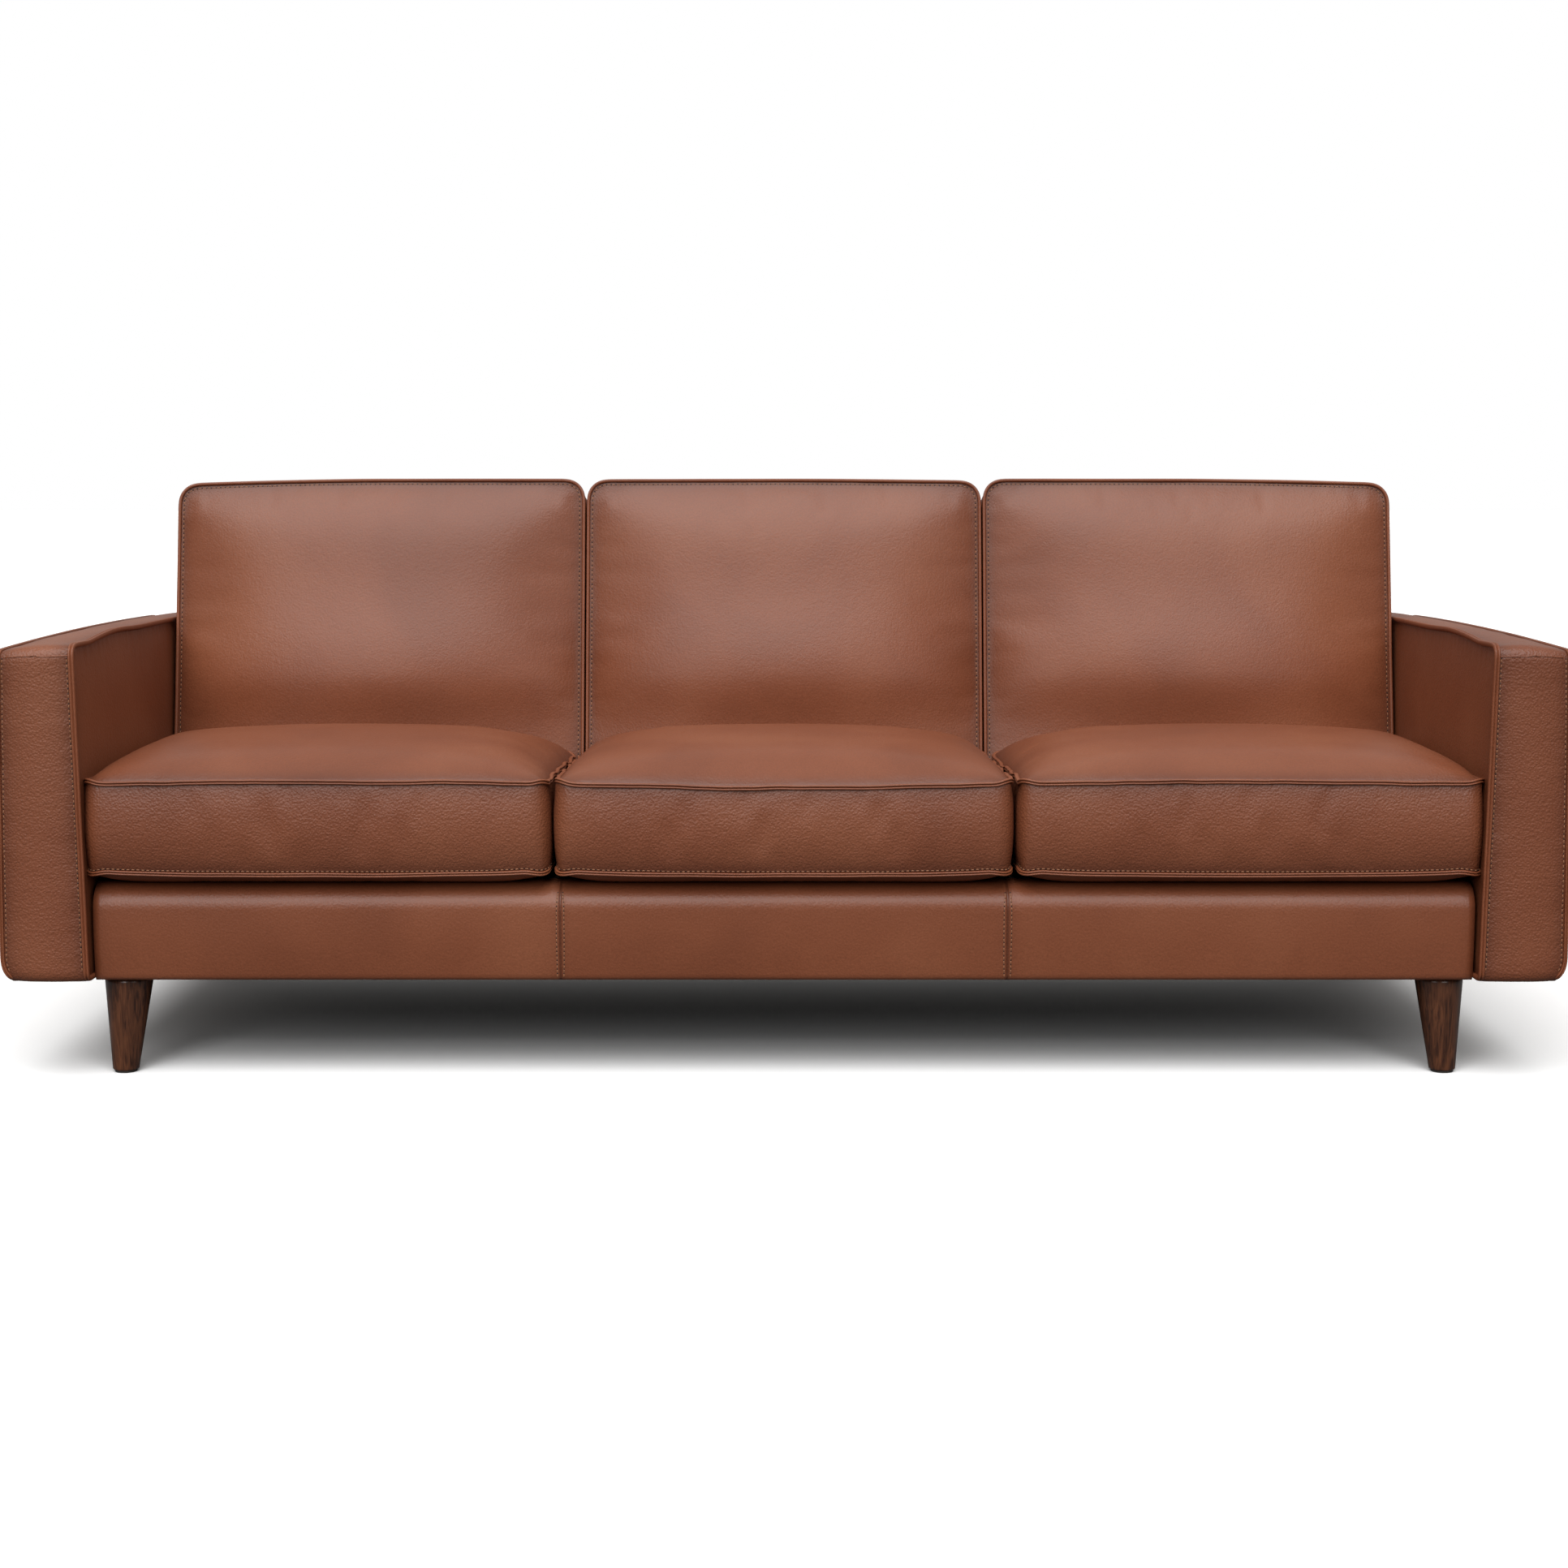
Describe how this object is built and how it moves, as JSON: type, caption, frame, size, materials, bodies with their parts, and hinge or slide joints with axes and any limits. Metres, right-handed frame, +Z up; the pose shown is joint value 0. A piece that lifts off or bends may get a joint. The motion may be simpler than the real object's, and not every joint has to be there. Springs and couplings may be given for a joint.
{
  "type": "three-seat sofa",
  "caption": "Low track-arm leather sofa with loose boxed seat and back cushions, a plain front rail and round tapered splayed wooden legs.",
  "frame": {"origin": "on the floor, under the middle of the sofa", "axes": "+X to the right as seen from the front, -Y to the front, +Z up"},
  "size_m": [2.24, 0.94, 0.8669],
  "materials": {
    "cognac_leather": "satin",
    "cushion_foam": "matte",
    "wadding_foam": "matte",
    "walnut_legs": "satin",
    "frame_timber": "matte",
    "plywood": "matte",
    "spring_steel": "satin",
    "zinc_steel": "satin",
    "deck_cloth": "matte",
    "dust_cloth": "matte",
    "elastic_webbing": "matte",
    "glide_nylon": "matte"
  },
  "bodies": {
    "frame": {"arm_bolts": "zinc_steel", "arm_bottom_rail_left": "frame_timber", "arm_bottom_rail_right": "frame_timber", "arm_cover_left": "cognac_leather", "arm_cover_right": "cognac_leather", "arm_front_post_left": "frame_timber", "arm_front_post_right": "frame_timber", "arm_inner_board_left": "plywood", "arm_inner_board_right": "plywood", "arm_outer_board_left": "plywood", "arm_outer_board_right": "plywood", "arm_padding_left": "wadding_foam", "arm_padding_right": "wadding_foam", "arm_rear_post_left": "frame_timber", "arm_rear_post_right": "frame_timber", "arm_top_rail_left": "frame_timber", "arm_top_rail_right": "frame_timber", "back_middle_rail": "frame_timber", "back_post_inner_left": "plywood", "back_post_inner_right": "plywood", "back_post_outer_left": "plywood", "back_post_outer_right": "plywood", "back_rail": "frame_timber", "back_top_padding": "wadding_foam", "back_top_rail": "frame_timber", "back_webbing": "elastic_webbing", "corner_blocks": "frame_timber", "deck_padding": "wadding_foam", "dust_cover": "dust_cloth", "front_rail": "frame_timber", "front_rail_cover": "cognac_leather", "front_rail_padding": "wadding_foam", "glides": "glide_nylon", "hanger_bolts": "zinc_steel", "inner_back_cover": "cognac_leather", "leg_front_left": "walnut_legs", "leg_front_right": "walnut_legs", "leg_rear_left": "walnut_legs", "leg_rear_right": "walnut_legs", "outside_back_cover": "cognac_leather", "seat_deck": "deck_cloth", "seat_springs": "spring_steel", "seat_stretcher_left": "frame_timber", "seat_stretcher_right": "frame_timber", "side_rail_left": "frame_timber", "side_rail_right": "frame_timber", "spring_clips": "spring_steel", "tee_nuts": "zinc_steel"},
    "seat_cushion_left": {"seat_cushion_cover_left": "cognac_leather", "seat_cushion_core_left": "cushion_foam"},
    "seat_cushion_centre": {"seat_cushion_cover_centre": "cognac_leather", "seat_cushion_core_centre": "cushion_foam"},
    "seat_cushion_right": {"seat_cushion_cover_right": "cognac_leather", "seat_cushion_core_right": "cushion_foam"},
    "back_cushion_left": {"back_cushion_cover_left": "cognac_leather", "back_cushion_core_left": "cushion_foam"},
    "back_cushion_centre": {"back_cushion_cover_centre": "cognac_leather", "back_cushion_core_centre": "cushion_foam"},
    "back_cushion_right": {"back_cushion_cover_right": "cognac_leather", "back_cushion_core_right": "cushion_foam"}
  },
  "joints": [
    {"name": "seat_cushion_lift_left", "type": "slide", "parent": "frame", "child": "seat_cushion_left", "axis": [0, -0.5, 0.866], "range_m": [0, 0.45]},
    {"name": "seat_cushion_lift_centre", "type": "slide", "parent": "frame", "child": "seat_cushion_centre", "axis": [0, -0.5, 0.866], "range_m": [0, 0.45]},
    {"name": "seat_cushion_lift_right", "type": "slide", "parent": "frame", "child": "seat_cushion_right", "axis": [0, -0.5, 0.866], "range_m": [0, 0.45]},
    {"name": "back_cushion_lift_left", "type": "slide", "parent": "frame", "child": "back_cushion_left", "axis": [0, 0.1908, 0.9816], "range_m": [0, 0.45]},
    {"name": "back_cushion_lift_centre", "type": "slide", "parent": "frame", "child": "back_cushion_centre", "axis": [0, 0.1908, 0.9816], "range_m": [0, 0.45]},
    {"name": "back_cushion_lift_right", "type": "slide", "parent": "frame", "child": "back_cushion_right", "axis": [0, 0.1908, 0.9816], "range_m": [0, 0.45]}
  ]
}
